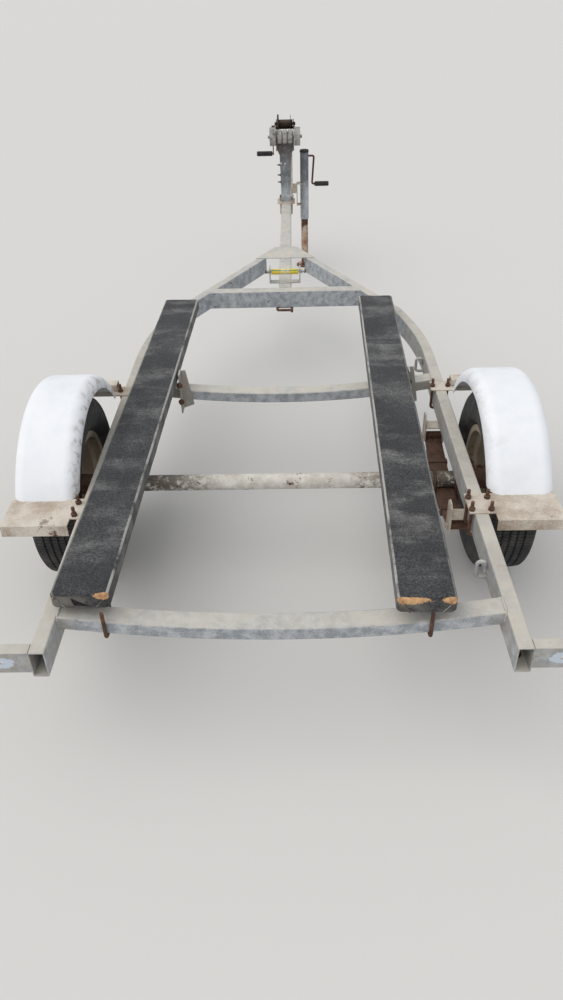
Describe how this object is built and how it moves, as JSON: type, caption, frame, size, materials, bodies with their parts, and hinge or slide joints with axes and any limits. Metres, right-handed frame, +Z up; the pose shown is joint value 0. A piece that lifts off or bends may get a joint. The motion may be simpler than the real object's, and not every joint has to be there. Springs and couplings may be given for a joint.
{
  "type": "boat trailer",
  "caption": "Boat trailer: box-section frame with a leaf-sprung axle, fenders, carpeted bunks, keel roller, bow stop and hand winch on a post, and a side-wind jack.",
  "frame": {"origin": "on the floor, below the middle of the whole part", "axes": "+Y forward to the coupler, +X to the right looking forward, +Z up"},
  "size_m": [1.628, 4.25, 0.9305],
  "materials": {
    "galvanised_steel": "weathered hot-dip galvanising under pale dust",
    "dusty_paint": "dusty beige over galvanising, rusty at the bolts",
    "fender_paint": "chalky white brushed paint, rust on the edges",
    "axle_paint": "flaking pale paint over rust",
    "jack_leg_paint": "pale paint, orange with rust",
    "rim_paint": "faded cream paint with rust",
    "rusty_steel": "rusted through",
    "tyre_rubber": "dusty matt rubber",
    "carpet": "worn charcoal needle-felt carpet",
    "roller_rubber": "chalky grey rubber",
    "keel_sleeve": "yellow with a green stripe",
    "grip_plastic": "black moulded"
  },
  "bodies": {
    "frame": {"axle": "axle_paint", "axle_clamp_left": "rusty_steel", "axle_clamp_right": "rusty_steel", "bow_yoke": "galvanised_steel", "bunk_brackets": "galvanised_steel", "bunk_hooks": "rusty_steel", "bunk_left": "carpet", "bunk_right": "carpet", "coupler": "galvanised_steel", "coupler_lever": "galvanised_steel", "cross_front": "galvanised_steel", "cross_middle": "galvanised_steel", "cross_rear": "galvanised_steel", "drawbar": "galvanised_steel", "fender_arm_left": "dusty_paint", "fender_arm_right": "dusty_paint", "fender_left": "fender_paint", "fender_right": "fender_paint", "frame_leg_left": "galvanised_steel", "frame_leg_right": "galvanised_steel", "gusset": "galvanised_steel", "jack_bracket": "dusty_paint", "jack_cap": "grip_plastic", "jack_crank": "rusty_steel", "jack_grip": "grip_plastic", "jack_tube": "galvanised_steel", "keel_bracket": "galvanised_steel", "lamp_arm_left": "galvanised_steel", "lamp_arm_right": "galvanised_steel", "leaf_spring_left": "rusty_steel", "leaf_spring_right": "rusty_steel", "post_foot": "dusty_paint", "rail_left": "galvanised_steel", "rail_right": "galvanised_steel", "rail_u_bolts": "rusty_steel", "shackle": "rusty_steel", "spring_hangers_left": "dusty_paint", "spring_hangers_right": "dusty_paint", "step_left": "dusty_paint", "step_right": "dusty_paint", "tie_eyes": "galvanised_steel", "winch_frame": "rusty_steel", "winch_head": "galvanised_steel", "winch_post": "galvanised_steel"},
    "wheel_left": {"hub_left": "rusty_steel", "rim_left": "rim_paint", "tyre_left": "tyre_rubber"},
    "wheel_right": {"hub_right": "rusty_steel", "rim_right": "rim_paint", "tyre_right": "tyre_rubber"},
    "keel_roller": {"keel_roller": "keel_sleeve"},
    "bow_roller_left": {"bow_roller_left": "roller_rubber"},
    "bow_roller_middle": {"bow_roller_middle": "roller_rubber"},
    "bow_roller_right": {"bow_roller_right": "roller_rubber"},
    "winch_drum": {"winch_drum": "rusty_steel"},
    "winch_crank": {"winch_crank": "rusty_steel", "winch_grip": "grip_plastic"},
    "jack_leg": {"jack_leg": "jack_leg_paint"}
  },
  "joints": [
    {"name": "wheel_left_spin", "type": "hinge", "parent": "frame", "child": "wheel_left", "pos_m": [-0.7165, -1.22, 0.3], "axis": [1, 0, 0], "continuous": true},
    {"name": "wheel_right_spin", "type": "hinge", "parent": "frame", "child": "wheel_right", "pos_m": [0.7165, -1.22, 0.3], "axis": [1, 0, 0], "continuous": true},
    {"name": "keel_roller_spin", "type": "hinge", "parent": "frame", "child": "keel_roller", "pos_m": [0, 0.305, 0.487], "axis": [1, 0, 0], "continuous": true},
    {"name": "bow_roller_left_spin", "type": "hinge", "parent": "frame", "child": "bow_roller_left", "pos_m": [-0.072, 1.638, 0.838], "axis": [1, 0, 0], "continuous": true},
    {"name": "bow_roller_middle_spin", "type": "hinge", "parent": "frame", "child": "bow_roller_middle", "pos_m": [0, 1.638, 0.838], "axis": [1, 0, 0], "continuous": true},
    {"name": "bow_roller_right_spin", "type": "hinge", "parent": "frame", "child": "bow_roller_right", "pos_m": [0.072, 1.638, 0.838], "axis": [1, 0, 0], "continuous": true},
    {"name": "winch_drum_spin", "type": "hinge", "parent": "frame", "child": "winch_drum", "pos_m": [0, 1.806, 0.878], "axis": [1, 0, 0], "continuous": true},
    {"name": "winch_crank_spin", "type": "hinge", "parent": "frame", "child": "winch_crank", "pos_m": [0, 1.86013, 0.84675], "axis": [1, 0, 0], "continuous": true},
    {"name": "jack_slide", "type": "slide", "parent": "frame", "child": "jack_leg", "axis": [0, 0, 1], "range_m": [-0.09, 0.24]}
  ],
  "couplings": [
    {"joint": "winch_crank_spin", "follows": "winch_drum_spin", "ratio": -4}
  ]
}
